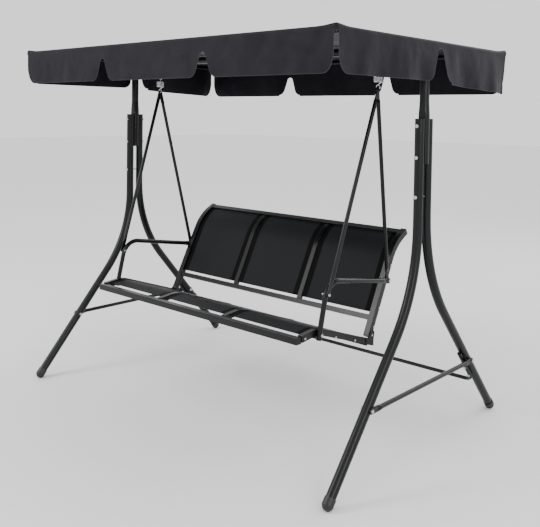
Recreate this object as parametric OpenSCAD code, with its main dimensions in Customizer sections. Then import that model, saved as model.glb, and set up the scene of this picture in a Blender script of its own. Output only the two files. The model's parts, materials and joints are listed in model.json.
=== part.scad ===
// Porch swing with a fabric canopy: two A-shaped leg frames, a top beam, and a
// mesh bench hung from two coil springs. Millimetres, +Z up, origin on the floor
// under the middle of the whole outline.

/* [Stand] */
// distance from the middle to each leg frame
frame_half = 853; // [780:1:900]
// outer radius of the leg and post tube
tube_r = 17.5; // [16:0.5:19]
// wall of the leg and post tube
tube_wall = 1.5; // [1:0.1:2.5]
// height of the closed leg tops
leg_top = 1247; // [1235:1:1255]
// how far the front feet stand forward of the post
foot_front = 543; // [500:1:560]
// how far the rear feet stand behind the post
foot_rear = 596.6; // [560:1:610]
// radius of the bend in each leg
leg_bend_r = 595; // [560:1:620]
// height at which the front legs start to bend
front_bend_z = 845; // [820:1:870]
// height at which the rear legs start to bend
rear_bend_z = 890; // [860:1:910]
// height of the post tops
post_top = 1526; // [1500:1:1527]
// radius of the top beam
beam_r = 16; // [14:0.5:17]

/* [Canopy] */
// half the width of the fabric
canopy_half_w = 895.5; // [894:0.5:930]
// half the depth of the fabric
canopy_half_d = 593.5; // [560:0.5:620]
// height of the fabric top
canopy_top = 1530.5; // [1529:0.5:1540]
// height of the valance hem
valance_z = 1383; // [1340:1:1400]
// thickness of the fabric
cloth_t = 2; // [1.5:0.5:2.5]
// distance of the front and rear notches from the middle
notch_x = 300; // [200:1:400]

/* [Bench] */
// half the width over the seat and back rails
rail_half = 595; // [590:1:597]
// width of a seat rail
seat_rail_w = 20; // [18:1:22]
// height of a seat rail
seat_rail_h = 25; // [22:1:26]
// side of the square back rail
back_rail_w = 25; // [22:1:26]
// distance of the seat and back ribs from the middle
rib_x = 195; // [150:1:230]
// thickness of the mesh
mesh_t = 2; // [1:0.5:3]

/* [Suspension] */
// distance of each spring from the middle
spring_x = 650; // [645:1:655]
// number of turns of each spring
spring_turns = 6; // [4:1:7]

/* [Hidden] */
$fn = 48;

steel = [0.17, 0.17, 0.19];
cloth = [0.15, 0.15, 0.17];
mesh = [0.11, 0.11, 0.12];
plastic = [0.05, 0.05, 0.06];
zinc = [0.75, 0.76, 0.78];

cap_r = 20.3;
cap_sleeve_r = 19.8;
cap_sleeve = 22;
cap_gap = 0.1;
foot_z = 19.4;
leg_gap = 29.5;
bolt_r = 3;
hole_r = 3.1;
head_r = 6.5;
head_h = 4;
far = 3000;
axis_y = (canopy_half_d - foot_rear - cap_r) / 2;

leg_bolt_z = [1220, 1105, 961];
post_foot = 1082;
crimp_top = 1262;
round_from = 1310;
crimp_r = 20.5;
crimp_half = 14.5;
beam_z = 1506;
eye_z = 1439.7;
eye_r = 9;
eye_wire = 3;
canopy_bolt_z = 1508;

bar_r = 10;
bar_x = 881;
bar_y = 579;
bar_z = 1516;
joint_r = 12;
joint_len = 42;
joint_gap = 0.1;

brace_r = 8.5;
brace_z = 265;
brace_plate_r = 11;
brace_plate_t = 4.5;
brace_front = [-336.2, brace_z];
brace_flat = 34;
brace_blend = 22;
stretch_r = 8;
stretch_bend = 35;
stretch_up = 150;

hook_z = 1436;
hook_r = 7.5;
wire_r = 2;
knuckle_r = 2.25;
coil_r = 15.2;
coil_top = 1411;
coil_low = 1385;
loop_z = 1360;

rod_r = 8;
rod_plate_r = 9;
rod_plate_t = 4;
rod_hole_r = 4.5;
rod_flat = 40;
rod_blend = 20;
rod_top_z = 1357.8;
rod_step = 2.2;
front_pin = [-250, 598.6];
rear_pin = [170, 582.4];
front_rod_x = 618.2;
rear_rod_x = 599.6;

arm_r = 10;
arm_x = 605.3;
arm_bend = 75;
arm_plate_t = 5;
arm_plate_r = 11;
arm_a = 171;
arm_post_a = 256.7;
arm_start = [-169.4, 636.1];
arm_blend = 24;
arm_flat = 24;
arm_post = 147.1;
arm_foot = [-283.5, 455];

seat_c = [-290, 325];
seat_bend = 150;
seat_a0 = 6.05;
seat_a1 = -18.7;
seat_fore = 65.6;
seat_aft = 339.8;
seat_front_y = -371;
back_c = [383.4, 574.6];
back_bend = 200;
back_a0 = 63.1;
back_a1 = 28.1;
back_low = 325;
back_high = 31;
rail_wall = 1.6;
rib_w = 22;
seat_rib_h = 20;
back_rib_h = 14;
mesh_gap = 0.3;
bend_steps = 10;
seat_bolts = [[-354, 455], [-256, 448], [-171, 420], [-47, 382]];
back_bolts = [40, 118, 300];
base_bolt = [66, 378.5];

// direction and left-hand normal of a line at angle a in the side view
function along(a) = [cos(a), sin(a)];
function left_of(a) = [-sin(a), cos(a)];

// one edge of a strip that runs straight, bends to the right and runs on straight
function edge(c, r, a0, a1, l0, l1, d) = concat(
  [c + (r + d) * left_of(a0) - l0 * along(a0)],
  [for (i = [0:bend_steps]) c + (r + d) * left_of(a0 + (a1 - a0) * i / bend_steps)],
  [c + (r + d) * left_of(a1) + l1 * along(a1)]);

function reversed(v) = [for (i = [len(v) - 1:-1:0]) v[i]];

// angle by which a leg leans after its bend so that it ends at its foot
function lean(foot, bend_z) =
  atan2(bend_z - foot_z, leg_bend_r - foot + leg_gap)
  - acos(leg_bend_r / norm([leg_bend_r - foot + leg_gap, bend_z - foot_z]));

module placed() {
  translate([0, axis_y, 0]) children();
}

// a side-view outline, given thickness w along X starting at x
module slab(x, w) {
  translate([x, 0, 0]) rotate([90, 0, 90]) linear_extrude(w) children();
}

module strip(c, r, a0, a1, l0, l1, top, low) {
  polygon(concat(edge(c, r, a0, a1, l0, l1, top), reversed(edge(c, r, a0, a1, l0, l1, low))));
}

module bar(p, q, r) {
  d = q - p;
  translate(p) rotate([0, acos(d[2] / norm(d)), atan2(d[1], d[0])]) cylinder(r = r, h = norm(d));
}

module along_x(p, r, h) {
  translate(p) rotate([0, 90, 0]) cylinder(r = r, h = h, center = true);
}

module along_y(p, r, h) {
  translate(p) rotate([90, 0, 0]) cylinder(r = r, h = h, center = true);
}

// tube end pressed flat across X, running up Z from a round tube to a bolt hole
module flat_end(r, plate_r, plate_t, blend, flat, hole) {
  difference() {
    union() {
      intersection() {
        cylinder(r1 = r, r2 = plate_r, h = blend);
        rotate([90, 0, 0]) linear_extrude(4 * plate_r, center = true)
          polygon([[-r - 0.6, 0], [r + 0.6, 0], [plate_t / 2, blend], [-plate_t / 2, blend]]);
      }
      translate([-plate_t / 2, -plate_r, blend]) cube([plate_t, 2 * plate_r, flat]);
      along_x([0, 0, blend + flat], plate_r, plate_t);
    }
    along_x([0, 0, blend + flat], hole, 3 * plate_t);
  }
}

// tube between two bolt holes, both ends pressed flat, hollow between them
function rod_turn(d) = [asin(-d[1]), atan2(d[0], d[2]), 0];

module flat_rod(p, q, r, plate_r, plate_t, blend, flat, hole_p, hole_q) {
  d = (q - p) / norm(q - p);
  len = norm(q - p);
  run = flat + blend;
  translate(p) rotate(rod_turn(d)) {
    translate([0, 0, len - run]) flat_end(r, plate_r, plate_t, blend, flat, hole_q);
    difference() {
      translate([0, 0, run]) cylinder(r = r, h = len - 2 * run);
      translate([0, 0, run + 1]) cylinder(r = r - rail_wall, h = len - 2 * run - 2);
    }
    translate([0, 0, run]) mirror([0, 0, 1]) flat_end(r, plate_r, plate_t, blend, flat, hole_p);
  }
}

// ---- stand ----

// each bend is a hair fatter than its straights, which run a little way into it
bend_step = 0.04;
leg_step = 0.25;
leg_lap = 6;

module leg_path(r, foot, bend_z, top, short) {
  a = lean(foot, bend_z);
  mid = [leg_gap + leg_bend_r, bend_z];
  start = mid - leg_bend_r * along(a);
  run = norm([foot, foot_z + 0.3] - start);
  translate([frame_half, mid[0], mid[1]]) rotate([90, 0, 90]) {
    rotate([0, 0, 180]) rotate_extrude(angle = a, $fn = 120) translate([leg_bend_r, 0])
      circle(r = r + leg_step, $fn = 48);
    translate([-leg_bend_r, -leg_lap, 0]) rotate([-90, 0, 0])
      cylinder(r = r, h = top - bend_z + leg_lap);
    rotate([0, 0, 180 + a]) translate([leg_bend_r, -leg_lap, 0]) rotate([-90, 0, 0])
      cylinder(r = r, h = run + leg_lap - short);
  }
}

module leg_shanks(grow) {
  for (z = leg_bolt_z) {
    along_y([frame_half, 0, z], bolt_r + grow, 2 * (leg_gap + tube_r) + 2);
  }
}

// the brace bolts go through the legs along X; one point for each leg
function brace_rear_y() =
  foot_rear - (brace_z - foot_z) * tan(lean(foot_rear, rear_bend_z));

module brace_shanks(grow) {
  for (y = [brace_front[0], brace_rear_y()]) {
    along_x([frame_half + 5, y, brace_z], bolt_r + grow, 50);
  }
}

// place on the rear leg, s above the foot end of the stretcher and turned with the leg
module on_rear_leg(s) {
  a = lean(foot_rear, rear_bend_z);
  translate([frame_half, foot_rear - s * sin(a), foot_z + s * cos(a)]) rotate([a, 0, 0])
    children();
}

stretch_s = 218;
stretch_off = tube_r + stretch_r + 0.05;
stretch_bolt_s = [262, 316];

module stretcher_shanks(grow) {
  for (s = stretch_bolt_s) {
    on_rear_leg(s) translate([0, -7, 0]) rotate([90, 0, 0])
      cylinder(r = bolt_r + grow, h = 2 * stretch_r + 2 * tube_r + 18, center = true);
  }
}

module leg(foot, bend_z) {
  difference() {
    leg_path(tube_r, foot, bend_z, leg_top, 0);
    leg_path(tube_r - tube_wall, foot, bend_z, leg_top - 2, -6);
    leg_shanks(hole_r - bolt_r);
    children();
  }
}

module rear_leg() {
  leg(foot_rear, rear_bend_z) {
    union() {
      brace_shanks(hole_r - bolt_r);
      stretcher_shanks(hole_r - bolt_r);
    }
  }
}

module front_leg() {
  mirror([0, 1, 0]) leg(foot_front, front_bend_z) {
    mirror([0, 1, 0]) union() {
      brace_shanks(hole_r - bolt_r);
      leg_shanks(hole_r - bolt_r);
    }
  }
}

module leg_front_right() {
  color(steel) placed() front_leg();
}

module leg_front_left() {
  color(steel) placed() mirror([1, 0, 0]) front_leg();
}

module leg_rear_right() {
  color(steel) placed() rear_leg();
}

module leg_rear_left() {
  color(steel) placed() mirror([1, 0, 0]) rear_leg();
}

module foot_cap(foot, bend_z) {
  a = lean(foot, bend_z);
  end = [foot, foot_z];
  up = end + cap_sleeve * [-sin(a), cos(a)];
  difference() {
    union() {
      translate([frame_half, end[0], end[1]]) sphere(r = cap_r);
      bar([frame_half, end[0], end[1]], [frame_half, up[0], up[1]], cap_sleeve_r);
    }
    bar([frame_half, end[0], end[1]], [frame_half, foot - 2 * cap_sleeve * sin(a),
      foot_z + 2 * cap_sleeve * cos(a)], tube_r + cap_gap);
    translate([frame_half - 50, foot - 50, -50]) cube([100, 100, 50]);
  }
}

module foot_caps() {
  color(plastic) placed() for (s = [0, 1]) mirror([s, 0, 0]) {
    foot_cap(foot_rear, rear_bend_z);
    mirror([0, 1, 0]) foot_cap(foot_front, front_bend_z);
  }
}

module post() {
  difference() {
    union() {
      translate([frame_half, 0, round_from]) cylinder(r = tube_r, h = post_top - round_from);
      intersection() {
        translate([frame_half, 0, crimp_top])
          cylinder(r1 = crimp_r, r2 = tube_r, h = round_from - crimp_top);
        translate([frame_half - 50, 0, 0]) rotate([90, 0, 90]) linear_extrude(100)
          polygon([[-crimp_half, crimp_top], [crimp_half, crimp_top],
            [tube_r, round_from], [-tube_r, round_from]]);
      }
      intersection() {
        translate([frame_half, 0, post_foot]) cylinder(r = crimp_r, h = crimp_top - post_foot);
        translate([frame_half - 50, -crimp_half, post_foot])
          cube([100, 2 * crimp_half, crimp_top - post_foot]);
      }
    }
    for (s = [-1, 1]) {
      translate([frame_half, s * leg_gap, post_foot - 1])
        cylinder(r = tube_r + 0.1, h = leg_top + 0.2 - post_foot + 1);
    }
    translate([frame_half, 0, round_from + 6])
      cylinder(r = tube_r - tube_wall, h = post_top - round_from - 8);
    leg_shanks(hole_r - bolt_r);
    along_x([frame_half, 0, canopy_bolt_z], hole_r, 60);
  }
}

module post_right() {
  color(steel) placed() post();
}

module post_left() {
  color(steel) placed() mirror([1, 0, 0]) post();
}

module top_beam() {
  plug = 34;
  color(steel) placed() difference() {
    along_x([0, 0, beam_z], beam_r, 2 * (frame_half - 7));
    along_x([0, 0, beam_z], beam_r - tube_wall, 2 * (frame_half - tube_r - plug));
    for (s = [-1, 1]) {
      translate([s * frame_half, 0, beam_z - 30]) cylinder(r = tube_r + 0.05, h = 60);
      translate([s * spring_x, 0, beam_z - 30]) cylinder(r = eye_wire + 0.1, h = 60);
      along_x([s * (frame_half - 20), 0, canopy_bolt_z], hole_r, 40);
    }
  }
}

module leg_bolts() {
  color(zinc) placed() for (s = [0, 1]) mirror([s, 0, 0]) {
    leg_shanks(0);
    for (z = leg_bolt_z) {
      along_y([frame_half, -leg_gap - tube_r - head_h / 2, z], head_r, head_h);
      along_y([frame_half, leg_gap + tube_r + head_h / 2, z], head_r, head_h);
    }
  }
}

module eye_bolts() {
  color(zinc) placed() for (s = [-1, 1]) translate([s * spring_x, 0, 0]) {
    translate([0, 0, eye_z]) rotate([0, 90, 0]) rotate_extrude($fn = 64)
      translate([eye_r, 0]) circle(r = eye_wire, $fn = 24);
    translate([0, 0, eye_z + eye_r - 0.5])
      cylinder(r = eye_wire, h = beam_z + beam_r + 2 - eye_z - eye_r + 0.5);
    translate([0, 0, beam_z - beam_r - 4.2]) cylinder(r = 6, h = 4, $fn = 48);
    translate([0, 0, beam_z + beam_r + 0.2]) cylinder(r = 5.5, h = 3, $fn = 48);
  }
}

module brace() {
  x = frame_half + tube_r + 0.1 + brace_plate_t / 2;
  flat_rod([x, brace_front[0], brace_z], [x, brace_rear_y(), brace_z], brace_r,
    brace_plate_r, brace_plate_t, brace_blend, brace_flat, hole_r, hole_r);
}

module brace_right() {
  color(steel) placed() brace();
}

module brace_left() {
  color(steel) placed() mirror([1, 0, 0]) brace();
}

module brace_bolts() {
  out = frame_half + tube_r + 0.1 + brace_plate_t;
  color(zinc) placed() for (s = [0, 1]) mirror([s, 0, 0]) {
    for (y = [brace_front[0], brace_rear_y()]) {
      along_x([frame_half + 1.2, y, brace_z], bolt_r, 2 * tube_r + 10);
      along_x([out + 0.1 + head_h / 2, y, brace_z], head_r, head_h);
      along_x([frame_half - tube_r - head_h / 2 - 0.1, y, brace_z], head_r, head_h);
    }
  }
}

// half of the U-shaped rear stretcher: up the leg, round the corner, along the back
module stretcher_path(r, short) {
  on_rear_leg(stretch_s) {
    translate([0, -stretch_off, stretch_bend]) cylinder(r = r, h = stretch_up - short);
    translate([-stretch_bend, -stretch_off, stretch_bend]) rotate([90, 0, 0])
      rotate([0, 0, -90]) rotate_extrude(angle = 90, $fn = 96)
      translate([stretch_bend, 0]) circle(r = r, $fn = 48);
    translate([-stretch_bend, -stretch_off, 0]) rotate([0, -90, 0])
      cylinder(r = r, h = frame_half - stretch_bend);
  }
}

module stretcher_half() {
  difference() {
    stretcher_path(stretch_r, 0);
    stretcher_path(stretch_r - rail_wall, 2);
    stretcher_shanks(hole_r - bolt_r);
  }
}

module rear_stretcher() {
  color(steel) placed() {
    stretcher_half();
    mirror([1, 0, 0]) stretcher_half();
  }
}

module stretcher_bolts() {
  color(zinc) placed() for (m = [0, 1]) mirror([m, 0, 0]) {
    for (s = stretch_bolt_s) on_rear_leg(s) {
      translate([0, tube_r + 0.2, 0]) rotate([90, 0, 0])
        cylinder(r = bolt_r, h = 2 * stretch_r + 2 * tube_r + 1);
      translate([0, tube_r + 0.1 + head_h, 0]) rotate([90, 0, 0])
        cylinder(r = head_r, h = head_h);
      translate([0, -tube_r - 2 * stretch_r - 0.2, 0]) rotate([90, 0, 0])
        cylinder(r = head_r - 1, h = head_h);
    }
  }
}

// ---- canopy ----

module canopy_bar_across(y) {
  half = bar_x - joint_len + 20;
  along_x([0, y, bar_z], bar_r, 2 * half);
}

module canopy_bar_front() {
  color(steel) placed() difference() {
    canopy_bar_across(-bar_y);
    along_x([0, -bar_y, bar_z], bar_r - 1.2, 2 * (bar_x - joint_len));
  }
}

module canopy_bar_rear() {
  color(steel) placed() difference() {
    canopy_bar_across(bar_y);
    along_x([0, bar_y, bar_z], bar_r - 1.2, 2 * (bar_x - joint_len));
  }
}

module canopy_bar_side() {
  half = bar_y - joint_len + 20;
  difference() {
    along_y([bar_x, 0, bar_z], bar_r, 2 * half);
    along_y([bar_x, half / 2 + 10, bar_z], bar_r - 1.2, half - 30);
    along_y([bar_x, -half / 2 - 10, bar_z], bar_r - 1.2, half - 30);
    along_x([bar_x, 0, canopy_bolt_z], hole_r, 40);
    translate([frame_half, 0, bar_z - 30]) cylinder(r = tube_r + 0.05, h = 60);
  }
}

module canopy_bar_right() {
  color(steel) placed() canopy_bar_side();
}

module canopy_bar_left() {
  color(steel) placed() mirror([1, 0, 0]) canopy_bar_side();
}

module canopy_corners() {
  color(plastic) placed() for (a = [0, 1], b = [0, 1]) mirror([a, 0, 0]) mirror([0, b, 0]) {
    difference() {
      union() {
        translate([bar_x, bar_y, bar_z]) sphere(r = joint_r);
        translate([bar_x, bar_y, bar_z]) rotate([0, -90, 0]) cylinder(r = joint_r, h = joint_len);
        translate([bar_x, bar_y, bar_z]) rotate([90, 0, 0]) cylinder(r = joint_r, h = joint_len);
      }
      translate([bar_x - 22 + joint_gap, bar_y, bar_z]) rotate([0, -90, 0])
        cylinder(r = bar_r + joint_gap, h = joint_len);
      translate([bar_x, bar_y - 22 + joint_gap, bar_z]) rotate([90, 0, 0])
        cylinder(r = bar_r + joint_gap, h = joint_len);
    }
  }
}

module canopy_bolts() {
  color(zinc) placed() for (s = [0, 1]) mirror([s, 0, 0]) {
    along_x([(bar_x + bar_r + 0.5 + frame_half - 36) / 2, 0, canopy_bolt_z], bolt_r,
      bar_x + bar_r + 0.5 - frame_half + 36);
    along_x([bar_x + bar_r + 1, 0, canopy_bolt_z], head_r, 1.9);
  }
}

// notch in the valance: a narrow slot with a round end above a widening mouth
module notch(half, apex, mouth) {
  union() {
    translate([-half, valance_z - 5]) square([2 * half, apex - half - valance_z + 5]);
    translate([0, apex - half]) circle(r = half);
    difference() {
      translate([-half - mouth, valance_z - 5]) square([2 * (half + mouth), mouth + 5]);
      for (s = [-1, 1]) {
        translate([s * (half + mouth), valance_z + mouth]) circle(r = mouth);
      }
    }
  }
}

module canopy_fabric() {
  w = 2 * canopy_half_w;
  d = 2 * canopy_half_d;
  t = cloth_t;
  slot = 12;
  color(cloth) placed() difference() {
    translate([-w / 2, -d / 2, valance_z]) cube([w, d, canopy_top - valance_z]);
    translate([-w / 2 + t, -d / 2 + t, valance_z - 1])
      cube([w - 2 * t, d - 2 * t, canopy_top - valance_z - t + 1]);
    for (s = [-1, 1]) {
      translate([s * notch_x, 0, 0]) rotate([90, 0, 0]) linear_extrude(d + 50, center = true)
        notch(13, 1468, 45);
    }
    translate([0, 35, 0]) rotate([90, 0, 90]) linear_extrude(w + 50, center = true)
      notch(14, 1503, 62);
    for (a = [-1, 1], b = [-1, 1]) {
      translate([a * w / 2 - slot, b * d / 2 - slot, valance_z - 5])
        cube([2 * slot, 2 * slot, 1518 - valance_z + 5]);
      translate([a * w / 2, b * d / 2, 0]) intersection() {
        union() {
          rotate([90, 0, 0]) linear_extrude(8, center = true) notch(slot, 1400, 65);
          rotate([90, 0, 90]) linear_extrude(8, center = true) notch(slot, 1400, 65);
        }
        translate([-100, -100, 0]) cube([200, 200, 2000]);
      }
    }
  }
}

// ---- springs ----

function coil_point(k, steps) = [
  coil_r * cos(360 * k / steps), coil_r * sin(360 * k / steps),
  coil_low + (coil_top - coil_low) * k / (steps * spring_turns)];

module coil() {
  steps = 24;
  sides = 8;
  count = steps * spring_turns;
  pitch = (coil_top - coil_low) / spring_turns;
  climb = atan2(pitch, 2 * PI * coil_r);
  pts = [for (k = [0:count], j = [0:sides - 1])
    let (a = 360 * k / steps, b = 360 * j / sides, c = coil_point(k, steps))
    c + wire_r * cos(b) * [cos(a), sin(a), 0]
      + wire_r * sin(b) * [sin(a) * sin(climb), -cos(a) * sin(climb), cos(climb)]];
  near = [for (k = [0:count - 1], j = [0:sides - 1])
    [k * sides + j, (k + 1) * sides + (j + 1) % sides, (k + 1) * sides + j]];
  rest = [for (k = [0:count - 1], j = [0:sides - 1])
    [k * sides + j, k * sides + (j + 1) % sides, (k + 1) * sides + (j + 1) % sides]];
  first = [[for (j = [sides - 1:-1:0]) j]];
  last = [[for (j = [0:sides - 1]) count * sides + j]];
  polyhedron(points = pts, faces = concat(near, rest, first, last), convexity = 10);
}

module spring() {
  translate([spring_x, 0, 0]) {
    translate([0, 0, hook_z - hook_r]) rotate([90, 0, 0]) rotate_extrude($fn = 48)
      translate([hook_r, 0]) circle(r = wire_r, $fn = 20);
    bar([0, 0, hook_z - 2 * hook_r], [coil_r, 0, coil_top], wire_r);
    translate([coil_r, 0, coil_top]) sphere(r = knuckle_r, $fn = 24);
    coil();
    translate([coil_r, 0, coil_low]) sphere(r = knuckle_r, $fn = 24);
    bar([0, 0, loop_z + 2 * hook_r], [coil_r, 0, coil_low], wire_r);
    translate([0, 0, loop_z + hook_r]) rotate([90, 0, 0]) rotate_extrude(angle = 180, $fn = 48)
      translate([hook_r, 0]) circle(r = wire_r, $fn = 20);
    along_x([0, 0, loop_z], wire_r, 2 * hook_r);
    for (s = [-1, 1]) {
      translate([s * hook_r, 0, loop_z]) sphere(r = knuckle_r, $fn = 24);
      translate([s * hook_r, 0, loop_z]) cylinder(r = wire_r, h = hook_r, $fn = 20);
    }
  }
}

module spring_right() {
  color(zinc) placed() spring();
}

module spring_left() {
  color(zinc) placed() mirror([1, 0, 0]) spring();
}

// ---- hanger rods ----

module hanger(top, low) {
  flat_rod(top, low, rod_r, rod_plate_r, rod_plate_t, rod_blend, rod_flat, rod_hole_r, hole_r);
}

module hanger_front() {
  hanger([spring_x + rod_step, 0, rod_top_z], [front_rod_x, front_pin[0], front_pin[1]]);
}

module hanger_rear() {
  hanger([spring_x - rod_step, 0, rod_top_z], [rear_rod_x, rear_pin[0], rear_pin[1]]);
}

module hanger_front_right() {
  color(steel) placed() hanger_front();
}

module hanger_front_left() {
  color(steel) placed() mirror([1, 0, 0]) hanger_front();
}

module hanger_rear_right() {
  color(steel) placed() hanger_rear();
}

module hanger_rear_left() {
  color(steel) placed() mirror([1, 0, 0]) hanger_rear();
}

// ---- armrests ----

module armrest_frame() {
  c = arm_start + arm_bend * left_of(arm_a);
  translate([arm_x, c[0], c[1]]) rotate([90, 0, 90]) rotate([0, 0, arm_a - 90]) children();
}

module armrest_path(r, reach, short) {
  lap = 0.6;
  turn = arm_post_a - arm_a;
  rotate_extrude(angle = turn, $fn = 96) translate([arm_bend, 0])
    circle(r = r + bend_step, $fn = 48);
  translate([arm_bend, lap, 0]) rotate([90, 0, 0]) cylinder(r = r, h = reach - short + lap);
  rotate([0, 0, turn]) translate([arm_bend, -lap, 0]) rotate([-90, 0, 0])
    cylinder(r = r, h = arm_post - short + lap);
}

module armrest() {
  reach = norm(arm_start - rear_pin) - arm_blend - arm_flat;
  difference() {
    armrest_frame() {
      armrest_path(arm_r, reach, 0);
      translate([arm_bend, -reach, 0]) rotate([90, 0, 0]) rotate([0, 0, 90])
        flat_end(arm_r, arm_plate_r, arm_plate_t, arm_blend, arm_flat, hole_r);
    }
    armrest_frame() armrest_path(arm_r - rail_wall, reach, 2);
    along_x([arm_x, front_pin[0], front_pin[1]], hole_r, 40);
    along_x([arm_x, arm_foot[0], arm_foot[1]], hole_r, 40);
  }
}

module armrest_right() {
  color(steel) placed() armrest();
}

module armrest_left() {
  color(steel) placed() mirror([1, 0, 0]) armrest();
}

// ---- seat ----

module seat_strip(top, low, fore, aft) {
  strip(seat_c, seat_bend, seat_a0, seat_a1, seat_fore + fore, seat_aft + aft, top, low);
}

module rail_holes(r) {
  for (p = concat(seat_bolts, [arm_foot])) {
    along_x([rail_half - seat_rail_w, p[0], p[1]], r, 3 * seat_rail_w);
  }
  along_x([rail_half, base_bolt[0], base_bolt[1]], r, 80);
}

module seat_rail() {
  inside = rail_half - seat_rail_w;
  difference() {
    union() {
      slab(inside, seat_rail_w) seat_strip(0, -seat_rail_h, 0, 0);
      slab(rail_half, 3)
        polygon([[30, 375 - 2], [80, 357], [86, 388], [80, 394], [60, 394], [40, 371]]);
      slab(rail_half, 3) polygon([[30, 350], [80, 333], [80.5, 358], [30, 375]]);
    }
    slab(inside + rail_wall, seat_rail_w - 2 * rail_wall)
      seat_strip(-rail_wall, -seat_rail_h + rail_wall, -rail_wall, -rail_wall);
    rail_holes(hole_r);
  }
}

module seat_rail_right() {
  color(steel) placed() seat_rail();
}

module seat_rail_left() {
  color(steel) placed() mirror([1, 0, 0]) seat_rail();
}

module seat_bar_front() {
  half = 592;
  color(steel) placed() difference() {
    slab(-half, 2 * half) translate([-397, 439]) square([26, 24]);
    slab(-half + 2, 2 * half - 4) translate([-395.4, 440.6]) square([22.8, 20.8]);
  }
}

module seat_bar_rear() {
  half = rail_half - seat_rail_w - 0.05;
  color(steel) placed() difference() {
    slab(-half, 2 * half) translate([62, 341]) rotate(seat_a1) square([20, 18], center = true);
    slab(-half + 2, 2 * half - 4) translate([62, 341]) rotate(seat_a1)
      square([20 - 2 * rail_wall, 18 - 2 * rail_wall], center = true);
  }
}

module seat_rib(x) {
  w = rail_wall;
  color(steel) placed() difference() {
    slab(x - rib_w / 2, rib_w) seat_strip(-2, -2 - seat_rib_h, -0.05, -28.5);
    slab(x - rib_w / 2 + w, rib_w - 2 * w)
      seat_strip(-2 - w, -2 - seat_rib_h + w, -0.05 - w, -28.5 - w);
  }
}

module seat_rib_right() {
  seat_rib(rib_x);
}

module seat_rib_left() {
  seat_rib(-rib_x);
}

module seat_panel(x0, x1) {
  color(mesh) placed() slab(x0 + mesh_gap, x1 - x0 - 2 * mesh_gap)
    seat_strip(-4, -4 - mesh_t, -20, -34);
}

module seat_mesh_left() {
  seat_panel(-rail_half + seat_rail_w, -rib_x - rib_w / 2);
}

module seat_mesh_middle() {
  seat_panel(-rib_x + rib_w / 2, rib_x - rib_w / 2);
}

module seat_mesh_right() {
  seat_panel(rib_x + rib_w / 2, rail_half - seat_rail_w);
}

// ---- back ----

module back_strip(top, low, lower, upper) {
  strip(back_c, back_bend, back_a0, back_a1, back_low + lower, back_high + upper, top, low);
}

// a point on the back rail's middle line, s up from its foot, moved d to the front
function on_back(s, d) =
  back_c + (back_bend + d) * left_of(back_a0) - (back_low - s) * along(back_a0);

module back_bolt_holes(r) {
  for (s = back_bolts) {
    p = on_back(s, -6);
    along_x([rail_half, p[0], p[1]], r, 2 * 16);
  }
  along_x([rail_half, base_bolt[0], base_bolt[1]], r, 80);
}

module back_rail() {
  inside = rail_half - back_rail_w;
  h = back_rail_w / 2;
  difference() {
    slab(inside, back_rail_w) back_strip(h, -h, 0, 0);
    slab(inside + rail_wall, back_rail_w - 2 * rail_wall)
      back_strip(h - rail_wall, -h + rail_wall, 1, 1);
    back_bolt_holes(hole_r);
    along_x([rail_half, rear_pin[0], rear_pin[1]], hole_r, 12);
  }
}

module back_rail_right() {
  color(steel) placed() back_rail();
}

module back_rail_left() {
  color(steel) placed() mirror([1, 0, 0]) back_rail();
}

module back_bar_bottom() {
  half = rail_half - back_rail_w - 0.05;
  p = on_back(72, 0);
  color(steel) placed() difference() {
    slab(-half, 2 * half) translate(p) rotate(back_a0) square([20, 20], center = true);
    slab(-half + 2, 2 * half - 4) translate(p) rotate(back_a0)
      square([20 - 2 * rail_wall, 20 - 2 * rail_wall], center = true);
  }
}

module back_bar_top() {
  half = rail_half - back_rail_w - 0.05;
  p = back_c + back_bend * left_of(back_a1) + (back_high - 12) * along(back_a1);
  color(steel) placed() difference() {
    slab(-half, 2 * half) translate(p) rotate(back_a1) square([24, 22], center = true);
    slab(-half + 2, 2 * half - 4) translate(p) rotate(back_a1)
      square([24 - 2 * rail_wall, 22 - 2 * rail_wall], center = true);
  }
}

module back_rib(x) {
  w = rail_wall;
  color(steel) placed() difference() {
    slab(x - rib_w / 2, rib_w) back_strip(7, 7 - back_rib_h, -82.1, -24.1);
    slab(x - rib_w / 2 + w, rib_w - 2 * w)
      back_strip(7 - w, 7 - back_rib_h + w, -82.1 - w, -24.1 - w);
  }
}

module back_rib_right() {
  back_rib(rib_x);
}

module back_rib_left() {
  back_rib(-rib_x);
}

module back_panel(x0, x1) {
  color(mesh) placed() slab(x0 + mesh_gap, x1 - x0 - 2 * mesh_gap)
    back_strip(5, 5 - mesh_t, -94, -24.3);
}

module back_mesh_left() {
  back_panel(-rail_half + back_rail_w, -rib_x - rib_w / 2);
}

module back_mesh_middle() {
  back_panel(-rib_x + rib_w / 2, rib_x - rib_w / 2);
}

module back_mesh_right() {
  back_panel(rib_x + rib_w / 2, rail_half - back_rail_w);
}

// ---- plugs and fasteners of the bench ----

module rail_plugs() {
  w = back_rail_w;
  out = 5;
  color(plastic) placed() for (s = [0, 1]) mirror([s, 0, 0]) {
    for (e = [0, 1]) {
      a = e == 0 ? back_a0 : back_a1;
      p = e == 0 ? on_back(-out / 2, 0)
        : back_c + back_bend * left_of(back_a1) + (back_high + out / 2) * along(back_a1);
      slab(rail_half - w, w) translate(p) rotate(a) square([out, w], center = true);
    }
  }
}

module seat_rail_bolts() {
  color(zinc) placed() for (s = [0, 1]) mirror([s, 0, 0]) {
    for (p = seat_bolts) {
      along_x([rail_half - seat_rail_w / 2, p[0], p[1]], bolt_r, seat_rail_w + 2);
      along_x([rail_half + 1.6, p[0], p[1]], 4.5, 3);
    }
    along_x([arm_x - 4, arm_foot[0], arm_foot[1]], bolt_r, 38);
    along_x([arm_x + arm_r + 1.6, arm_foot[0], arm_foot[1]], 4.5, 3);
  }
}

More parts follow.
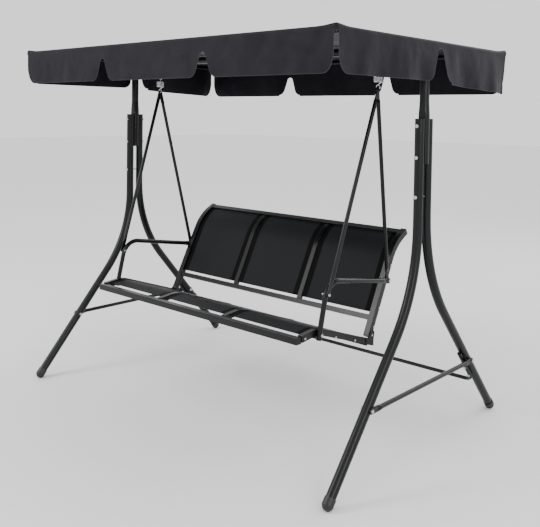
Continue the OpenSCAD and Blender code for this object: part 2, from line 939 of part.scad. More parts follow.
module back_rail_bolts() {
  color(zinc) placed() for (s = [0, 1]) mirror([s, 0, 0]) {
    for (t = back_bolts) {
      p = on_back(t, -6);
      along_x([rail_half - 3, p[0], p[1]], bolt_r, 8);
      along_x([rail_half + 1.6, p[0], p[1]], 4.5, 3);
    }
    along_x([rail_half - 11, base_bolt[0], base_bolt[1]], bolt_r, 34);
    along_x([rail_half + 4.6, base_bolt[0], base_bolt[1]], 4.5, 3);
    along_x([rail_half - back_rail_w - 1.6, base_bolt[0], base_bolt[1]], 4.5, 3);
  }
}

module hanger_bolts() {
  color(zinc) placed() for (s = [0, 1]) mirror([s, 0, 0]) {
    along_x([arm_x + 4, front_pin[0], front_pin[1]], bolt_r, 36);
    along_x([front_rod_x + 4.2, front_pin[0], front_pin[1]], 5.5, 3);
    along_x([arm_x - arm_r - 1.6, front_pin[0], front_pin[1]], 5.5, 3);
    along_x([arm_x - 5, rear_pin[0], rear_pin[1]], bolt_r, 18);
    along_x([arm_x + arm_plate_t / 2 + 1.6, rear_pin[0], rear_pin[1]], 5.5, 3);
  }
}

leg_front_left();
leg_front_right();
leg_rear_left();
leg_rear_right();
foot_caps();
post_left();
post_right();
top_beam();
brace_left();
brace_right();
rear_stretcher();
canopy_bar_front();
canopy_bar_rear();
canopy_bar_left();
canopy_bar_right();
canopy_corners();
canopy_fabric();
leg_bolts();
brace_bolts();
stretcher_bolts();
canopy_bolts();
eye_bolts();
spring_left();
spring_right();
hanger_front_left();
hanger_front_right();
hanger_rear_left();
hanger_rear_right();
armrest_left();
armrest_right();
seat_rail_left();
seat_rail_right();
seat_bar_front();
seat_bar_rear();
seat_rib_left();
seat_rib_right();
seat_mesh_left();
seat_mesh_middle();
seat_mesh_right();
back_rail_left();
back_rail_right();
back_bar_top();
back_bar_bottom();
back_rib_left();
back_rib_right();
back_mesh_left();
back_mesh_middle();
back_mesh_right();
rail_plugs();
seat_rail_bolts();
back_rail_bolts();
hanger_bolts();
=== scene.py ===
# %% [markdown]
# # A porch swing with a canopy
# Two A-shaped tube frames carry a top beam, a cloth canopy and a bench of sling mesh that
# hangs from two coil springs. The jointed frame comes in ready made. This lesson gives it its
# finishes, sews the canopy, strings the six mesh panels and winds the springs.

# %%
import bpy
import json
import math
from mathutils import Matrix, Vector


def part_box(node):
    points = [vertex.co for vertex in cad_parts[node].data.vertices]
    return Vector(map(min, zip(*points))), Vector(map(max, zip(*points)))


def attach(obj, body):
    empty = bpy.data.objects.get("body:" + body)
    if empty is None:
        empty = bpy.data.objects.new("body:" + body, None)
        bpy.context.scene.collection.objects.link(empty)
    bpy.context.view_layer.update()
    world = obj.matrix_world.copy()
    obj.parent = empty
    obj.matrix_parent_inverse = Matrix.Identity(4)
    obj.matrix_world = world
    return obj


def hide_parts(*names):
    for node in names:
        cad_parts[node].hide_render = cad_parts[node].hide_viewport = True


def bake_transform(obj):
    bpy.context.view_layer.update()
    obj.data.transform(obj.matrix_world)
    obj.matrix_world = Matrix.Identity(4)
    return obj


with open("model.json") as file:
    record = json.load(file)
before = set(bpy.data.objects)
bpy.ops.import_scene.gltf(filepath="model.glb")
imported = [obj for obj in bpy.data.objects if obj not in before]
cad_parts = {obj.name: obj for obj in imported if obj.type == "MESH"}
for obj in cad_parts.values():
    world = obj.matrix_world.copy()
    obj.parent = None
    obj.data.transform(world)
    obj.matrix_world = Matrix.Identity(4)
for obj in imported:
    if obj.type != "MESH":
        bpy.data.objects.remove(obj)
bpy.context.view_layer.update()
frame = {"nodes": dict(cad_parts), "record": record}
nodes = frame["nodes"]
MM = 0.001

# %% [markdown]
# ## Measures
# The swing's own middle line lies a little in front of the outline's middle, because the rear
# feet reach out further than the canopy's front edge. Every later step is written about the
# posts, so their place is kept here with the other sizes, in metres.

# %%
POST_Y = -0.0117
canopy_lo, canopy_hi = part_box("canopy_fabric")
CLOTH_TOP = canopy_hi[2]
HEM_Z = canopy_lo[2]
HALF_W = canopy_hi[0]
HALF_D = (canopy_hi[1] - canopy_lo[1]) / 2
print("canopy", round(HALF_W, 4), round(HALF_D, 4), round(HEM_Z, 4), round(CLOTH_TOP, 4))

# %% [markdown]
# ## Small helpers
# One turns a hex colour into the linear numbers a shader takes, one adds a shader node with its
# settings and its links, and one gives an object a material.


# %%
def linear(hex_colour):
    """Linear RGBA of an sRGB hex colour."""
    out = []
    for i in (0, 2, 4):
        c = int(hex_colour[i:i + 2], 16) / 255
        out.append(c / 12.92 if c <= 0.04045 else ((c + 0.055) / 1.055) ** 2.4)
    return (*out, 1.0)


def add(tree, kind, sockets=None, **settings):
    """A node with its settings; a socket takes a value, or another node's output."""
    n = tree.nodes.new(kind)
    for k, v in settings.items():
        setattr(n, k, v)
    for k, v in (sockets or {}).items():
        if isinstance(v, bpy.types.NodeSocket):
            tree.links.new(v, n.inputs[k])
        else:
            n.inputs[k].default_value = v
    return n


def material(name, colour, roughness, metallic=0.0):
    """A material with its surface shader ready, and the tree to add to."""
    m = bpy.data.materials.new(name)
    m.use_nodes = True
    t = m.node_tree
    shader = t.nodes["Principled BSDF"]
    shader.inputs["Base Color"].default_value = linear(colour)
    shader.inputs["Roughness"].default_value = roughness
    shader.inputs["Metallic"].default_value = metallic
    return m, t, shader


def paint(obj, *mats):
    obj.data.materials.clear()
    for m in mats:
        obj.data.materials.append(m)


def deselect():
    if bpy.context.object and bpy.context.object.mode != "OBJECT":
        bpy.ops.object.mode_set(mode="OBJECT")
    bpy.ops.object.select_all(action="DESELECT")


def active(obj):
    deselect()
    obj.select_set(True)
    bpy.context.view_layer.objects.active = obj
    return obj


def apply_all(obj):
    active(obj)
    for m in list(obj.modifiers):
        bpy.ops.object.modifier_apply(modifier=m.name)


# %% [markdown]
# ## Powder-coated tube
# The frame is steel tube with a satin charcoal powder coat. Powder melts into a skin with a very
# fine orange-peel, which widens the highlight along each tube. The bevel node rounds the edges of
# the square tubes in the shading, as the coat does.

# %%
coat, t, shader = material("powder_coated_steel", "0e0f11", 0.28)
shader.inputs["Specular IOR Level"].default_value = 0.24
place = add(t, "ShaderNodeTexCoord").outputs["Object"]
rounded = add(t, "ShaderNodeBevel", {"Radius": 2.5 * MM}, samples=4)
peel = add(t, "ShaderNodeTexNoise", {"Vector": place, "Scale": 1 / (1.6 * MM), "Detail": 2.0})
bump = add(t, "ShaderNodeBump", {"Height": peel.outputs["Fac"], "Distance": 0.03 * MM,
                                 "Strength": 0.5, "Normal": rounded.outputs["Normal"]})
wear = add(t, "ShaderNodeTexNoise", {"Vector": place, "Scale": 1 / (90 * MM), "Detail": 3.0})
rough = add(t, "ShaderNodeMapRange", {"Value": wear.outputs["Fac"], "To Min": 0.24,
                                      "To Max": 0.33})
t.links.new(bump.outputs["Normal"], shader.inputs["Normal"])
t.links.new(rough.outputs["Result"], shader.inputs["Roughness"])

# %% [markdown]
# ## Zinc and bright steel
# Bolts and nuts are zinc plated: bright, slightly cloudy. The springs are polished plated wire,
# so they mirror the room and look almost white where they face a light.

# %%
zinc, t, shader = material("zinc_plated_steel", "b9bbbf", 0.32, 1.0)
place = add(t, "ShaderNodeTexCoord").outputs["Object"]
rounded = add(t, "ShaderNodeBevel", {"Radius": 1.2 * MM}, samples=4)
cloudy = add(t, "ShaderNodeTexNoise", {"Vector": place, "Scale": 1 / (2.5 * MM), "Detail": 2.0})
rough = add(t, "ShaderNodeMapRange", {"Value": cloudy.outputs["Fac"], "To Min": 0.25,
                                      "To Max": 0.42})
t.links.new(rounded.outputs["Normal"], shader.inputs["Normal"])
t.links.new(rough.outputs["Result"], shader.inputs["Roughness"])

chrome, t, shader = material("plated_spring_wire", "d2d4d8", 0.14, 1.0)
place = add(t, "ShaderNodeTexCoord").outputs["Object"]
drawn = add(t, "ShaderNodeTexNoise", {"Vector": place, "Scale": 1 / (1.2 * MM), "Detail": 1.0})
rough = add(t, "ShaderNodeMapRange", {"Value": drawn.outputs["Fac"], "To Min": 0.10,
                                      "To Max": 0.22})
t.links.new(rough.outputs["Result"], shader.inputs["Roughness"])

# %% [markdown]
# ## Moulded plastic
# Foot caps, rail plugs and canopy corners are black moulded plastic with a faint grain.

# %%
plastic, t, shader = material("moulded_black_plastic", "0b0b0d", 0.45)
place = add(t, "ShaderNodeTexCoord").outputs["Object"]
grain = add(t, "ShaderNodeTexNoise", {"Vector": place, "Scale": 1 / (0.8 * MM), "Detail": 2.0})
bump = add(t, "ShaderNodeBump", {"Height": grain.outputs["Fac"], "Distance": 0.05 * MM,
                                 "Strength": 0.6})
t.links.new(bump.outputs["Normal"], shader.inputs["Normal"])

# %% [markdown]
# ## Canopy cloth
# A plain-woven polyester, dyed black, with a water-proof coat that gives it a soft bluish sheen.
# The weave is about half a millimetre, so it shows as a fine tooth in close light. Where the cloth
# is folded over at a hem its edge stands proud and catches a thin line of light; the bevelled
# normal differs from the plain one only there, which makes the mask for that line.

# %%
# The two cloth colours are the black cloth in painted fold shade and in painted fold light.
CLOTH_SHADED_FOLD, CLOTH_LIT_FOLD = linear("0d0c11"), linear("1b1a22")
cloth, t, shader = material("coated_polyester", "141319", 0.55)
shader.inputs["Specular IOR Level"].default_value = 0.12
shader.inputs["Sheen Weight"].default_value = 0.06
shader.inputs["Sheen Roughness"].default_value = 0.4
shader.inputs["Sheen Tint"].default_value = linear("8f90a8")
place = add(t, "ShaderNodeTexCoord").outputs["Object"]
warp = add(t, "ShaderNodeTexWave", {"Vector": place, "Scale": 1 / (2.2 * MM)},
           bands_direction="Z")
weft = add(t, "ShaderNodeTexWave", {"Vector": place, "Scale": 1 / (2.2 * MM)},
           bands_direction="DIAGONAL")
weave = add(t, "ShaderNodeMath", {0: warp.outputs["Fac"], 1: weft.outputs["Fac"]},
            operation="MULTIPLY")
bump = add(t, "ShaderNodeBump", {"Height": weave.outputs["Value"], "Distance": 0.12 * MM,
                                 "Strength": 0.35})
pleats = add(t, "ShaderNodeTexNoise", {"Vector": place, "Scale": 1 / (70 * MM), "Detail": 2.0,
                                       "Distortion": 0.6})
crease = add(t, "ShaderNodeBump", {"Height": pleats.outputs["Fac"], "Distance": 6 * MM,
                                   "Strength": 0.35, "Normal": bump.outputs["Normal"]})
t.links.new(crease.outputs["Normal"], shader.inputs["Normal"])
soft = add(t, "ShaderNodeBevel", {"Radius": 4.5 * MM}, samples=6)
plain = add(t, "ShaderNodeNewGeometry")
same = add(t, "ShaderNodeVectorMath", {0: soft.outputs["Normal"], 1: plain.outputs["Normal"]},
           operation="DOT_PRODUCT")
edge = add(t, "ShaderNodeMapRange", {"Value": same.outputs["Value"], "From Min": 0.97,
                                     "From Max": 0.80})
# Painted fold shade: the cloth colour turns darker and lighter with the same noise that bends the
# creases.
painted_fold_shade = add(t, "ShaderNodeMix", {"Factor": pleats.outputs["Fac"], "A": CLOTH_SHADED_FOLD,
                                 "B": CLOTH_LIT_FOLD}, data_type="RGBA")
tint = add(t, "ShaderNodeMix", {"Factor": edge.outputs["Result"], "A": painted_fold_shade.outputs["Result"],
                                "B": linear("3b3a41")}, data_type="RGBA")
t.links.new(tint.outputs["Result"], shader.inputs["Base Color"])

# %% [markdown]
# ## Sling mesh and its hems
# The panels are woven from coated yarn about a millimetre thick, with gaps of the same size.
# The sides are doubled over a cord that slides into the rails, and there the cloth is closed and
# blacker.

# %%
YARN = 1.4 * MM
mesh_mat, t, shader = material("sling_mesh", "17181a", 0.55)
uv = add(t, "ShaderNodeUVMap").outputs["UV"]
parts = add(t, "ShaderNodeSeparateXYZ", {"Vector": uv})
shader.inputs["Specular IOR Level"].default_value = 0.12
waves = []
for axis in ("X", "Y"):
    turn = add(t, "ShaderNodeMath", {0: parts.outputs[axis], 1: math.pi / YARN},
               operation="MULTIPLY")
    sine = add(t, "ShaderNodeMath", {0: turn.outputs["Value"]}, operation="SINE")
    waves.append(add(t, "ShaderNodeMath", {0: sine.outputs["Value"]}, operation="ABSOLUTE"))
weave = add(t, "ShaderNodeMath", {0: waves[0].outputs["Value"], 1: waves[1].outputs["Value"]},
            operation="MAXIMUM")
bump = add(t, "ShaderNodeBump", {"Height": weave.outputs["Value"], "Distance": 0.4 * MM,
                                 "Strength": 0.5})
shade = add(t, "ShaderNodeMapRange", {"Value": weave.outputs["Value"], "From Min": 0.5,
                                      "To Min": 0.0, "To Max": 1.0})
tint = add(t, "ShaderNodeMix", {"Factor": shade.outputs["Result"], "A": linear("0c0d0e"),
                                "B": linear("1e1f22")}, data_type="RGBA")
t.links.new(tint.outputs["Result"], shader.inputs["Base Color"])
t.links.new(bump.outputs["Normal"], shader.inputs["Normal"])

hem_mat, t, shader = material("doubled_mesh_hem", "030304", 0.6)
shader.inputs["Specular IOR Level"].default_value = 0.07
place = add(t, "ShaderNodeTexCoord").outputs["Object"]
rib = add(t, "ShaderNodeTexNoise", {"Vector": place, "Scale": 1 / (1.5 * MM), "Detail": 2.0})
bump = add(t, "ShaderNodeBump", {"Height": rib.outputs["Fac"], "Distance": 0.2 * MM,
                                 "Strength": 0.4})
t.links.new(bump.outputs["Normal"], shader.inputs["Normal"])

# %% [markdown]
# ## Dress the ready-made parts
# Each carried-over part takes the material of its own slot.

# %%
by_slot = {"frame_paint": coat, "zinc_steel": zinc, "black_plastic": plastic,
           "spring_chrome": chrome, "canopy_cloth": cloth, "sling_mesh": mesh_mat}
for part in frame["record"]["subparts"]:
    paint(nodes[part["node"]], by_slot[part["material_slot"]])

# %% [markdown]
# ## Springs
# A hanging spring is wound from one wire: a ring at each end and six close turns between. The
# turns are a small circle swept by the screw modifier. The whole spring stretches between the
# eye bolt above and the rods below.

# %%
COIL_R = 15.2 * MM
COIL_LOW = 1.385
COIL_TOP = 1.411
WIRE = 2.0 * MM
TURNS = 6
HOOK_R = 7.5 * MM
HOOK_TOP = 1.4285
HOOK_LOW = 1.3675


def wire_between(a, b, r=WIRE):
    a, b = Vector(a), Vector(b)
    d = b - a
    bpy.ops.mesh.primitive_cylinder_add(vertices=20, radius=r, depth=d.length,
                                        location=(a + b) / 2)
    o = bpy.context.object
    o.rotation_mode = "QUATERNION"
    o.rotation_quaternion = Vector((0, 0, 1)).rotation_difference(d)
    return o


def knuckle(p):
    bpy.ops.mesh.primitive_uv_sphere_add(segments=20, ring_count=10, radius=WIRE, location=p)
    return bpy.context.object


def join(parts, name):
    deselect()
    for o in parts:
        o.select_set(True)
    bpy.context.view_layer.objects.active = parts[0]
    bpy.ops.object.join()
    o = bpy.context.object
    o.name = name
    o.data.name = name
    bpy.ops.object.transform_apply(location=True, rotation=True, scale=True)
    return o


def wind_spring(name, x):
    deselect()
    bpy.ops.mesh.primitive_circle_add(vertices=16, radius=WIRE, location=(COIL_R, 0, 0),
                                      rotation=(math.pi / 2, 0, 0))
    coil = bpy.context.object
    bpy.ops.object.transform_apply(location=True, rotation=True)
    screw = coil.modifiers.new("turns", "SCREW")
    screw.axis = "Z"
    screw.angle = 2 * math.pi
    screw.iterations = TURNS
    screw.screw_offset = (COIL_TOP - COIL_LOW) / TURNS
    screw.steps = 36
    screw.render_steps = 36
    apply_all(coil)
    coil.location = (0, 0, COIL_LOW)
    bits = [coil]
    bpy.ops.mesh.primitive_torus_add(major_radius=HOOK_R, minor_radius=WIRE, major_segments=40,
                                     minor_segments=16, location=(0, 0, HOOK_TOP),
                                     rotation=(math.pi / 2, 0, 0))
    bits.append(bpy.context.object)
    bits.append(wire_between((0, 0, HOOK_TOP - HOOK_R), (COIL_R, 0, COIL_TOP)))
    bits.append(wire_between((0, 0, HOOK_LOW + HOOK_R), (COIL_R, 0, COIL_LOW)))
    low = HOOK_LOW - HOOK_R
    bpy.ops.mesh.primitive_torus_add(major_radius=HOOK_R, minor_radius=WIRE, major_segments=40,
                                     minor_segments=16, location=(0, 0, HOOK_LOW),
                                     rotation=(math.pi / 2, 0, 0))
    ring = bpy.context.object
    bpy.ops.object.mode_set(mode="EDIT")
    bpy.ops.mesh.select_all(action="SELECT")
    bpy.ops.mesh.bisect(plane_co=(0, 0, HOOK_LOW), plane_no=(0, 0, 1), clear_inner=True)
    bpy.ops.object.mode_set(mode="OBJECT")
    bits.append(ring)
    bits.append(wire_between((-HOOK_R, 0, low), (HOOK_R, 0, low)))
    for s in (-1, 1):
        bits.append(wire_between((s * HOOK_R, 0, low), (s * HOOK_R, 0, HOOK_LOW)))
        bits.append(knuckle((s * HOOK_R, 0, low)))
    for z in (COIL_LOW, COIL_TOP):
        bits.append(knuckle((COIL_R, 0, z)))
    spring = join(bits, name)
    spring.location = (x, POST_Y, 0)
    bpy.ops.object.transform_apply(location=True)
    bpy.ops.object.mode_set(mode="EDIT")
    bpy.ops.mesh.select_all(action="SELECT")
    bpy.ops.mesh.normals_make_consistent(inside=False)
    bpy.ops.object.mode_set(mode="OBJECT")
    bpy.ops.object.shade_smooth_by_angle(angle=math.radians(50))
    paint(spring, chrome)
    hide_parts(name.replace("coil", "spring"))
    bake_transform(spring)
    print(name, len(spring.data.polygons), "faces")
    return spring


wind_spring("coil_right", 0.65)
wind_spring("coil_left", -0.65)

# %% [markdown]
# ## The canopy
# The real cover is one top panel with a valance sewn round it, pulled over the frame. Here it is
# grown as one sheet: a fine grid for the top, whose border is extruded down row by row. The top
# sags a little between the tubes, and the valance hangs in soft upright folds that die out
# towards the shoulder. Then the sheet gets its thickness and the notches are cut out.

# %%
CLOTH_T = 1.2 * MM
NX, NY = 148, 98
ROWS = 14
SHOULDER = 11 * MM
skin_z = CLOTH_TOP - CLOTH_T / 2
half_w = HALF_W - CLOTH_T / 2
half_d = HALF_D - CLOTH_T / 2

deselect()
bpy.ops.mesh.primitive_grid_add(x_subdivisions=NX, y_subdivisions=NY, size=1,
                                location=(0, 0, skin_z))
canopy = bpy.context.object
canopy.name = "canopy_cover"
canopy.data.name = "canopy_cover"
canopy.scale = (2 * half_w, 2 * half_d, 1)
bpy.ops.object.transform_apply(location=True, rotation=True, scale=True)

row = (skin_z - HEM_Z) / ROWS
bpy.ops.object.mode_set(mode="EDIT")
bpy.ops.mesh.select_mode(type="EDGE")
bpy.ops.mesh.select_all(action="SELECT")
bpy.ops.mesh.region_to_loop()
for i in range(ROWS):
    bpy.ops.mesh.extrude_region_move(TRANSFORM_OT_translate={"value": (0, 0, -row)})
bpy.ops.object.mode_set(mode="OBJECT")
print("canopy sheet", len(canopy.data.vertices), "points")

# %% [markdown]
# The shoulder is rounded over the tubes by bevelling the two sharp lines: round the top, and down
# the four corners.

# %%
active(canopy)
eps = 0.2 * MM
for e in canopy.data.edges:
    a, b = (canopy.data.vertices[i].co for i in e.vertices)
    top = abs(a.z - skin_z) < eps and abs(b.z - skin_z) < eps
    rim_x = abs(abs(a.x) - half_w) < eps and abs(abs(b.x) - half_w) < eps
    rim_y = abs(abs(a.y) - half_d) < eps and abs(abs(b.y) - half_d) < eps
    e.select = (top and (rim_x or rim_y)) or (rim_x and rim_y)
for v in canopy.data.vertices:
    v.select = False
for e in canopy.data.edges:
    if e.select:
        for i in e.vertices:
            canopy.data.vertices[i].select = True
for f in canopy.data.polygons:
    f.select = False
bpy.ops.object.mode_set(mode="EDIT")
bpy.ops.mesh.bevel(offset=SHOULDER * 0.7, segments=3, profile=0.5, clamp_overlap=True)
bpy.ops.mesh.select_all(action="SELECT")
bpy.ops.mesh.normals_make_consistent(inside=False)
bpy.ops.object.mode_set(mode="OBJECT")

# %% [markdown]
# Three pulls shape the hanging cloth: gravity on the top panel, and a coarse and a finer upright
# fold on the valance. Each is a displace modifier held back by a weight painted by place.

# %%
SAG = 9 * MM
FOLD = 34 * MM
REAR_DROP = 30 * MM
CORNER_BUMP = 7 * MM
CORNER_SPREAD = 45 * MM
sag = canopy.vertex_groups.new(name="sag")
deep = canopy.vertex_groups.new(name="deep")
bump_up = canopy.vertex_groups.new(name="bump_up")
fold = canopy.vertex_groups.new(name="fold")
pucker = canopy.vertex_groups.new(name="pucker")
for v in canopy.data.vertices:
    x, y, z = v.co
    drop = (skin_z - z) / (skin_z - HEM_Z)
    if drop < 0.02:
        along_y = math.sin(math.pi * min(1, abs(y) / half_d)) ** 0.8
        across = 1 - abs(x / half_w) ** 6
        sag.add([v.index], max(0.0, along_y * across), "REPLACE")
    if y > 0:
        deep.add([v.index], min(1.0, drop) * (y / half_d) ** 0.8, "REPLACE")
    corner = math.hypot(abs(x) - half_w, abs(y) - half_d)
    bump_up.add([v.index], math.exp(-(corner / CORNER_SPREAD) ** 2) * (1 - min(1.0, drop * 3)
                                                                      if drop < 1 / 3 else 0),
                "REPLACE")
    if drop > 0.10:
        fold.add([v.index], min(1.0, ((drop - 0.10) / 0.9) ** 1.25), "REPLACE")
    if 0.04 < drop:
        pucker.add([v.index], min(1.0, (drop - 0.04) / 0.3), "REPLACE")


def texture(name, size, depth):
    tex = bpy.data.textures.new(name, "CLOUDS")
    tex.noise_scale = size
    tex.noise_depth = depth
    return tex


def anchor(name, scale):
    e = bpy.data.objects.new(name, None)
    bpy.context.scene.collection.objects.link(e)
    e.scale = scale
    return e


upright = anchor("fold_axes", (1, 1, 9))
fine = anchor("pucker_axes", (1, 1, 2.2))
for name, strength in (("sag", -SAG), ("deep", -REAR_DROP), ("bump_up", CORNER_BUMP)):
    pull = canopy.modifiers.new(name, "DISPLACE")
    pull.direction = "Z"
    pull.mid_level = 0.0
    pull.strength = strength
    pull.vertex_group = name
for name, group, tex, frame_of, strength in (
        ("fold", "fold", texture("fold", 0.19, 1), upright, FOLD),
        ("pucker", "pucker", texture("pucker", 0.085, 1), fine, 9 * MM)):
    d = canopy.modifiers.new(name, "DISPLACE")
    d.texture = tex
    d.texture_coords = "OBJECT"
    d.texture_coords_object = frame_of
    d.direction = "NORMAL"
    d.mid_level = 0.5
    d.strength = strength
    d.vertex_group = group
apply_all(canopy)
for e in (upright, fine):
    bpy.data.objects.remove(e)

thick = canopy.modifiers.new("thick", "SOLIDIFY")
thick.thickness = CLOTH_T
thick.offset = 0
apply_all(canopy)
print("canopy cloth", len(canopy.data.polygons), "faces")

# %% [markdown]
# The notches are scissor cuts: a narrow slot with a round end, opening into a curved mouth. Each
# cutter is a slot, a round end and a flared mouth, and the mouth is a block with two round bars
# taken out of it.


# %%
def block(lo, hi):
    size = [b - a for a, b in zip(lo, hi)]
    bpy.ops.mesh.primitive_cube_add(size=1, location=[(a + b) / 2 for a, b in zip(lo, hi)])
    o = bpy.context.object
    o.scale = size
    bpy.ops.object.transform_apply(location=True, rotation=True, scale=True)
    return o


def round_bar(centre, r, length, axis):
    turn = (math.pi / 2, 0, 0) if axis == "Y" else (0, math.pi / 2, 0)
    bpy.ops.mesh.primitive_cylinder_add(vertices=64, radius=r, depth=length, location=centre,
                                        rotation=turn)
    o = bpy.context.object
    bpy.ops.object.transform_apply(location=True, rotation=True, scale=True)
    return o


def combine(a, b, operation):
    m = a.modifiers.new("cut", "BOOLEAN")
    m.operation = operation
    m.solver = "MANIFOLD"
    m.object = b
    apply_all(a)
    bpy.data.objects.remove(b)
    return a


def notch(half, apex, mouth, corner, length, axis):
    """A cutter through the origin: narrow and round at the apex, slanting out to mouth at the
    hem, where the cloth's corners are rounded by bars of radius corner."""
    def span(u0, z0, u1, z1):
        s = length / 2
        return ((u0, -s, z0), (u1, s, z1)) if axis == "Y" else ((-s, u0, z0), (s, u1, z1))

    def at(u, z):
        return (u, 0, z) if axis == "Y" else (0, u, z)

    top = apex - half
    slant = math.atan2(mouth - half, top - HEM_Z)
    middle = half + (top - HEM_Z - corner) * math.tan(slant) + corner / math.cos(slant)
    wedge = block(*span(-half, HEM_Z, half, top))
    bpy.ops.object.mode_set(mode="EDIT")
    bpy.ops.mesh.select_all(action="DESELECT")
    bpy.ops.object.mode_set(mode="OBJECT")
    for v in wedge.data.vertices:
        v.select = v.co.z < HEM_Z + MM
    bpy.ops.object.mode_set(mode="EDIT")
    wide = mouth / half
    bpy.ops.transform.resize(value=(wide, 1, 1) if axis == "Y" else (1, wide, 1),
                             center_override=(0, 0, HEM_Z))
    bpy.ops.object.mode_set(mode="OBJECT")
    flare = block(*span(-middle, HEM_Z - 0.09, middle,
                        HEM_Z + corner * (1 - math.sin(slant))))
    for s in (-1, 1):
        flare = combine(flare, round_bar(at(s * middle, HEM_Z + corner), corner,
                                         length * 1.2, axis), "DIFFERENCE")
    wedge = combine(wedge, flare, "UNION")
    return combine(wedge, round_bar(at(0, top), half, length, axis), "UNION")


NOTCH_X = 0.3
BITE = 40 * MM
for x in (-NOTCH_X, NOTCH_X):
    for sy in (-1, 1):
        deeper = REAR_DROP if sy > 0 else 0
        cutter = notch(18 * MM, 1.474, (46 if sy < 0 else 40) * MM, 36 * MM, 2 * BITE, "Y")
        cutter.location = (x, sy * half_d, -deeper * 0.8)
        canopy = combine(canopy, cutter, "DIFFERENCE")
for sx in (-1, 1):
    cutter = notch(20 * MM, 1.503, 52 * MM, 42 * MM, 2 * BITE, "X")
    cutter.location = (sx * half_w, 0.035, 0)
    canopy = combine(canopy, cutter, "DIFFERENCE")
CORNER = 10.4 * MM
SLOT_TOP = 1.514
for sx in (-1, 1):
    for sy in (-1, 1):
        slot = block((-CORNER, -CORNER, HEM_Z - 0.09), (3 * CORNER, 3 * CORNER, SLOT_TOP))
        slot.scale = (sx, sy, 1)
        slot.location = (sx * half_w, sy * half_d, 0)
        active(slot)
        bpy.ops.object.transform_apply(location=True, rotation=True, scale=True)
        bpy.ops.object.mode_set(mode="EDIT")
        bpy.ops.mesh.select_all(action="SELECT")
        bpy.ops.mesh.normals_make_consistent(inside=False)
        bpy.ops.object.mode_set(mode="OBJECT")
        deeper = REAR_DROP if sy > 0 else 0
        for axis in ("Y", "X"):
            out = (0, sy * (BITE - CORNER), 0) if axis == "Y" else (sx * (BITE - CORNER), 0, 0)
            mouth = notch(0.85 * CORNER, 1.458, 27 * MM, 46 * MM, 2 * BITE, axis)
            mouth.location = (sx * half_w + out[0], sy * half_d + out[1], -deeper)
            slot = combine(slot, mouth, "UNION")
        canopy = combine(canopy, slot, "DIFFERENCE")
canopy.location = (0, POST_Y, 0)
active(canopy)
bpy.ops.object.transform_apply(location=True, rotation=True, scale=True)
bpy.ops.object.shade_smooth_by_angle(angle=math.radians(40))
paint(canopy, cloth)
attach(canopy, "stand")
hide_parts("canopy_fabric")
drop = skin_z - HEM_Z

# %% [markdown]
# ## Mesh panels
# Three panels are strung across the seat and three across the back, each from rail to rib. The
# panel starts as one row and is extruded along the side view of its rails: straight, a bend, and
# straight again.

# %%
HEM = 28 * MM
PANEL_T = 1.2 * MM


def side_line(c, r, a0, a1, before, after, steps=10):
    """Points (y, z) of a line that runs straight, bends to the right and runs on straight."""
    def along(a):
        return Vector((math.cos(math.radians(a)), math.sin(math.radians(a))))

    def left(a):
        return Vector((-math.sin(math.radians(a)), math.cos(math.radians(a))))

    c = Vector(c)
    first = c + r * left(a0) - before * along(a0)
    turn = [c + r * left(a0 + (a1 - a0) * i / steps) for i in range(steps + 1)]
    last = c + r * left(a1) + after * along(a1)
    line = []
    for p, q in zip([first] + turn, turn + [last]):
        n = max(1, round((q - p).length / 0.012))
        line += [p.lerp(q, i / n) for i in range(n)]
    return line + [last]


def string_panel(name, x0, x1, line):
    """A sheet between x0 and x1 that follows the side line."""
    deselect()
    columns = max(6, round((x1 - x0) / 0.0095))
    step = line[1] - line[0]
    middle = (line[0] + line[1]) / 2
    bpy.ops.mesh.primitive_plane_add(size=1, location=((x0 + x1) / 2, middle.x + POST_Y,
                                                       middle.y),
                                     rotation=(math.atan2(step.y, step.x), 0, 0))
    p = bpy.context.object
    p.name = name
    p.data.name = name
    p.scale = (x1 - x0, step.length, 1)
    bpy.ops.object.transform_apply(location=True, rotation=True, scale=True)
    far_y = line[1].x + POST_Y
    bpy.ops.object.mode_set(mode="EDIT")
    bpy.ops.mesh.select_mode(type="EDGE")
    bpy.ops.mesh.select_all(action="DESELECT")
    bpy.ops.object.mode_set(mode="OBJECT")
    for e in p.data.edges:
        e.select = all(abs(p.data.vertices[i].co.y - far_y) < 0.01 * MM for i in e.vertices)
    bpy.ops.object.mode_set(mode="EDIT")
    for a, b in zip(line[1:], line[2:]):
        bpy.ops.mesh.extrude_region_move(
            TRANSFORM_OT_translate={"value": (0, b.x - a.x, b.y - a.y)})
    for i in range(1, columns):
        bpy.ops.mesh.select_all(action="SELECT")
        bpy.ops.mesh.bisect(plane_co=(x0 + (x1 - x0) * i / columns, 0, 0), plane_no=(1, 0, 0))
    bpy.ops.mesh.select_all(action="SELECT")
    bpy.ops.mesh.normals_make_consistent(inside=False)
    bpy.ops.object.mode_set(mode="OBJECT")
    return p


SEAT = side_line((-0.290, 0.325), 0.150 - 4.6 * MM, 6.05, -18.7, 0.0456, 0.3058)
BACK = side_line((0.3834, 0.5746), 0.200 + 4.4 * MM, 63.1, 28.1, 0.231, 0.0067)
SEAT_EDGE = 0.575
BACK_EDGE = 0.570
RIB = (0.184, 0.206)
GAP = 0.4 * MM


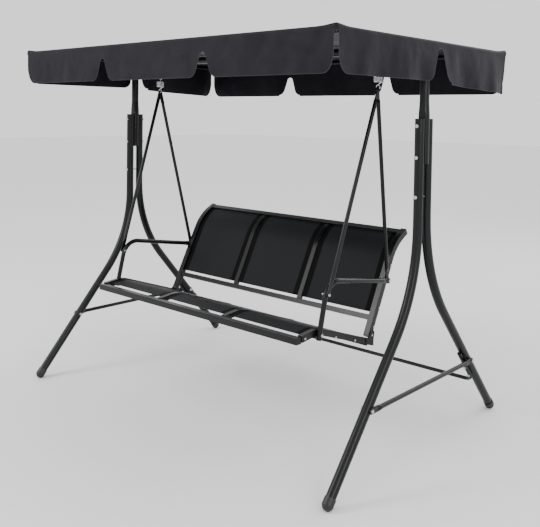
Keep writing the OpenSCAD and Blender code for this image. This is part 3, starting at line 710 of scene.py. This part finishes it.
def finish_panel(p, node, x0, x1, line, dip):
    """Dips, hems and thickens a strung panel, hangs it on the bench and hides the ready-made part
    it replaces.
    """
    group = p.vertex_groups.new(name="dip")
    reach = [0.0]
    for a, b in zip(line, line[1:]):
        reach.append(reach[-1] + (b - a).length)
    total = reach[-1]
    place = {}
    for v in p.data.vertices:
        k = min(range(len(line)),
                key=lambda i: (line[i].x + POST_Y - v.co.y) ** 2 + (line[i].y - v.co.z) ** 2)
        u = (v.co.x - x0) / (x1 - x0)
        w = reach[k] / total
        place[v.index] = (v.co.x, reach[k])
        group.add([v.index], max(0.0, math.sin(math.pi * u)) * math.sin(math.pi * w) ** 0.6,
                  "REPLACE")
    uv_layer = p.data.uv_layers.new(name="cloth")
    for loop in p.data.loops:
        uv_layer.data[loop.index].uv = place[loop.vertex_index]
    d = p.modifiers.new("dip", "DISPLACE")
    d.mid_level = 0
    d.strength = dip
    d.vertex_group = "dip"
    paint(p, mesh_mat, hem_mat)
    for f in p.data.polygons:
        if f.center.x - x0 < HEM or x1 - f.center.x < HEM:
            f.material_index = 1
    t = p.modifiers.new("thick", "SOLIDIFY")
    t.thickness = PANEL_T
    t.offset = 0
    apply_all(p)
    bpy.ops.object.shade_smooth_by_angle(angle=math.radians(40))
    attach(p, "bench")
    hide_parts(node)
    return total


DIP = 3 * MM
for where, line, edge_x in (("seat", SEAT, SEAT_EDGE), ("back", BACK, BACK_EDGE)):
    spans = {"left": (-edge_x, -RIB[1]), "middle": (-RIB[0], RIB[0]), "right": (RIB[1], edge_x)}
    for side, (x0, x1) in spans.items():
        x0, x1 = x0 + GAP, x1 - GAP
        name = f"{where}_sling_{side}"
        p = string_panel(name, x0, x1, line)
        total = finish_panel(p, f"{where}_mesh_{side}", x0, x1, line, -DIP)
        rails = [f"{where}_rib_{s}" for s in ("left", "right") if side in (s, "middle")]
        if side != "middle":
            rails.append(f"{where}_rail_{side}")
        print(name, len(p.data.polygons), "faces", round(x1 - x0, 3), "x", round(total, 3))

# %% [markdown]
# ## Floor, light and camera
# A pale floor and a white room, two large soft lights from the front and a weaker one behind.

# %%
deselect()
bpy.ops.mesh.primitive_plane_add(size=60, location=(0, 0, -0.0005))
floor = bpy.context.object
floor.name = "studio_floor"
floor_mat, t, shader = material("pale_studio_floor", "f4f4f4", 0.9)
paint(floor, floor_mat)

world = bpy.data.worlds.new("studio")
bpy.context.scene.world = world
world.use_nodes = True
world.node_tree.nodes["Background"].inputs["Color"].default_value = (1, 1, 1, 1)
world.node_tree.nodes["Background"].inputs["Strength"].default_value = 1.3


def softbox(name, place, target, size, power):
    light = bpy.data.lights.new(name, "AREA")
    light.shape = "RECTANGLE"
    light.size, light.size_y = size
    light.energy = power
    o = bpy.data.objects.new(name, light)
    bpy.context.scene.collection.objects.link(o)
    o.location = place
    o.rotation_euler = (Vector(target) - Vector(place)).to_track_quat("-Z", "Y").to_euler()
    return o


softbox("key", (-2.6, -4.2, 3.4), (0, 0, 0.9), (1.4, 2.4), 130)
softbox("fill", (4.6, -1.8, 2.6), (0, 0, 0.9), (0.6, 3.2), 70)
softbox("rim", (1.5, 4.5, 3.2), (0, 0, 1.0), (3.0, 2.0), 60)

YAW = math.radians(42.026)
PITCH = math.radians(2.090)
ROLL = math.radians(0.777)
back = Vector((math.sin(YAW) * math.cos(PITCH), -math.cos(YAW) * math.cos(PITCH),
               math.sin(PITCH)))
right0 = Vector((0, 0, 1)).cross(back).normalized()
up0 = back.cross(right0)
right = right0 * math.cos(ROLL) + up0 * math.sin(ROLL)
up = up0 * math.cos(ROLL) - right0 * math.sin(ROLL)
cam_data = bpy.data.cameras.new("camera")
cam = bpy.data.objects.new("camera", cam_data)
bpy.context.scene.collection.objects.link(cam)
bpy.context.scene.camera = cam
eye = Vector((2.24456, -2.38481 + POST_Y, 1.25537))
cam.matrix_world = Matrix([[right[i], up[i], back[i], eye[i]] for i in range(3)] + [[0, 0, 0, 1]])
cam_data.sensor_width = 36
cam_data.lens = 49.21
cam_data.shift_y = -0.2263
print("camera at", [round(v, 3) for v in eye])
